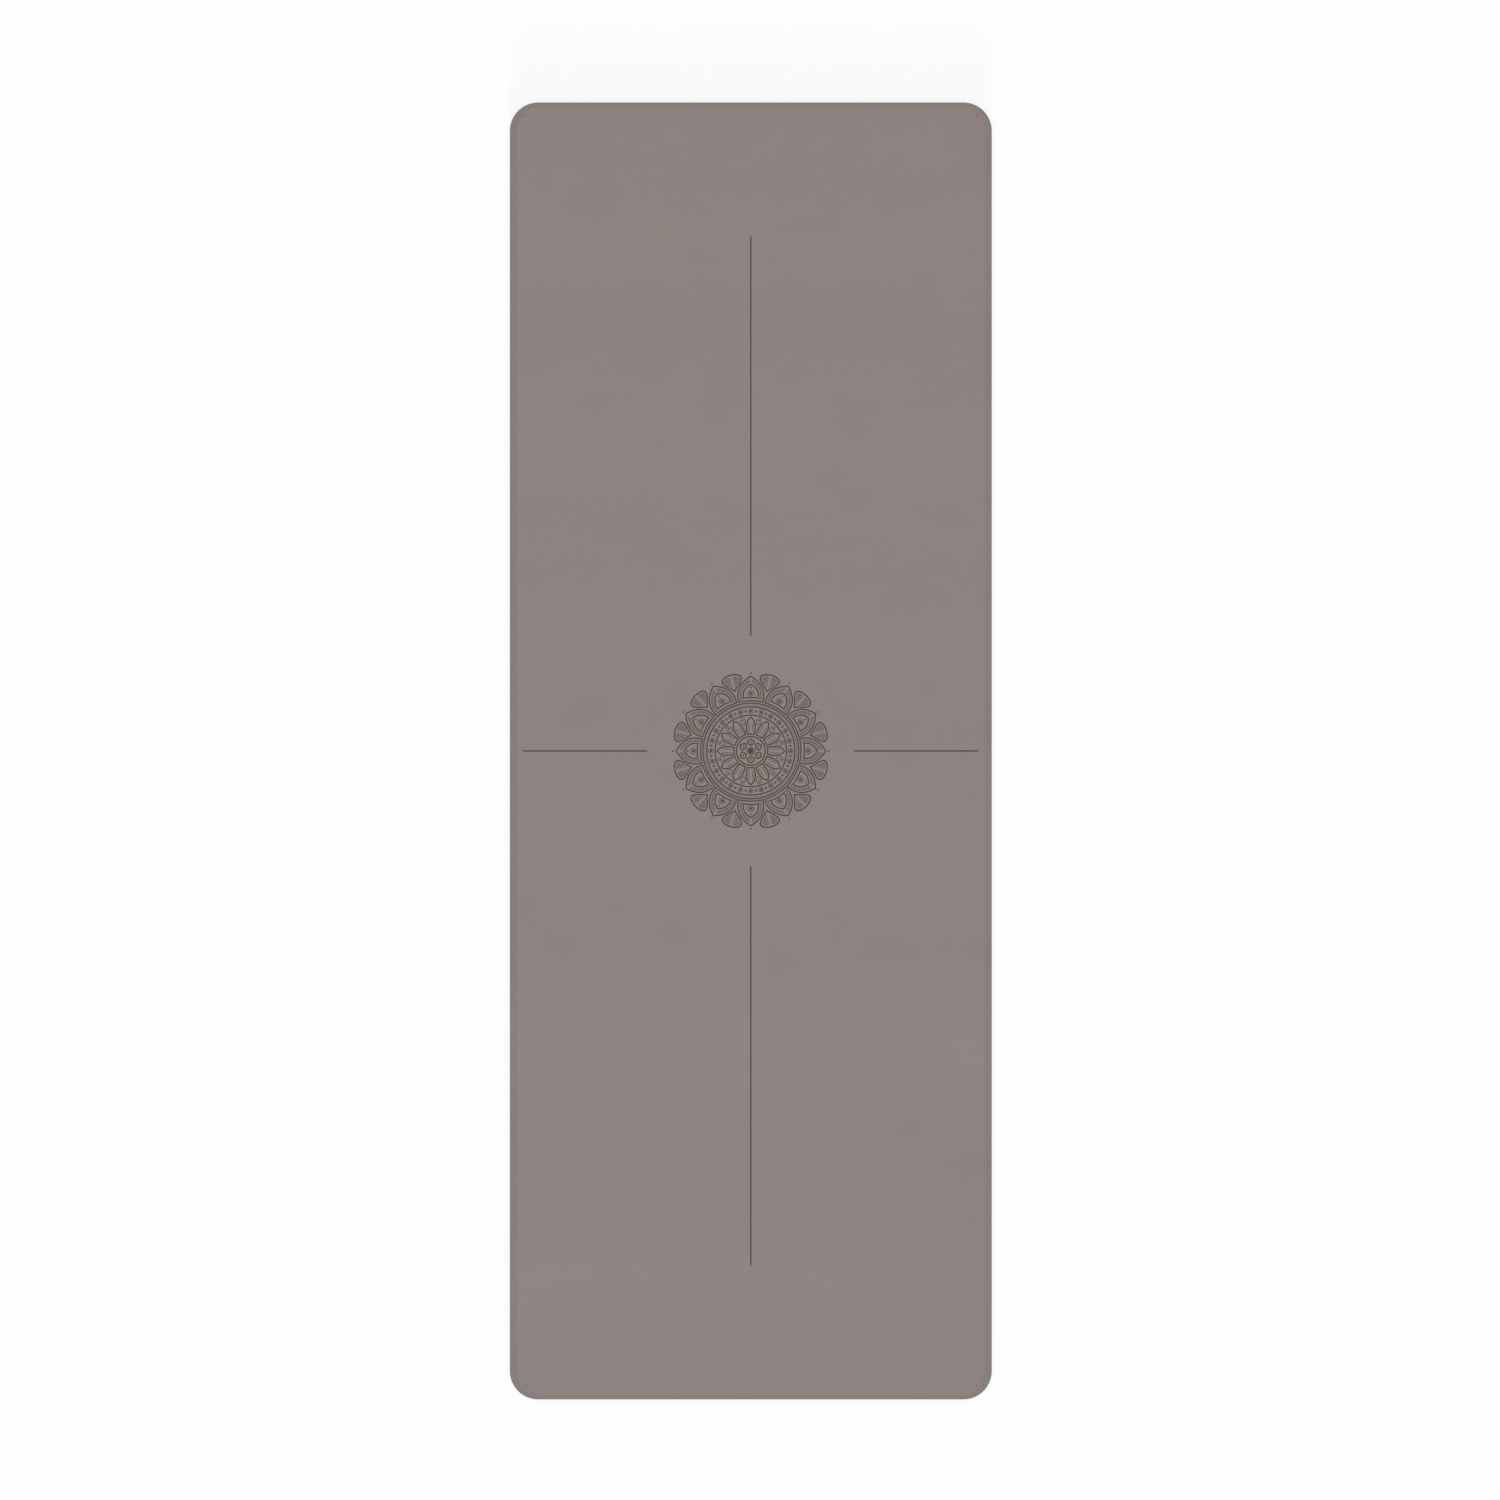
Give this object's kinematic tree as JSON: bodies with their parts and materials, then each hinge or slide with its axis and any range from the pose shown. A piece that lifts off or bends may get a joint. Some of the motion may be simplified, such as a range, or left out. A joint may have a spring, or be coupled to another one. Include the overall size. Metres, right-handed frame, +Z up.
{
  "type": "exercise mat",
  "caption": "Flat rectangular exercise mat with rounded corners, etched alignment lines and a round rosette, laminated from a polyurethane skin, fabric backing and rubber base.",
  "frame": {"origin": "on the floor under the middle of the mat, on the rubber base's underside", "axes": "+Z up out of the use face, +Y along the mat's length, +X across its width"},
  "size_m": [0.68, 1.83, 0.005],
  "materials": {
    "polyurethane": "matte taupe polyurethane skin, very fine grain, darker where it is etched",
    "backing_fabric": "plain woven polyester scrim, seen only as a thin line at the cut edge",
    "natural_rubber": "matte charcoal natural rubber foam with a fine moulded grip pattern below"
  },
  "bodies": {
    "root": {"polyurethane_skin": "polyurethane", "fabric_backing": "backing_fabric", "rubber_base": "natural_rubber"}
  },
  "joints": []
}
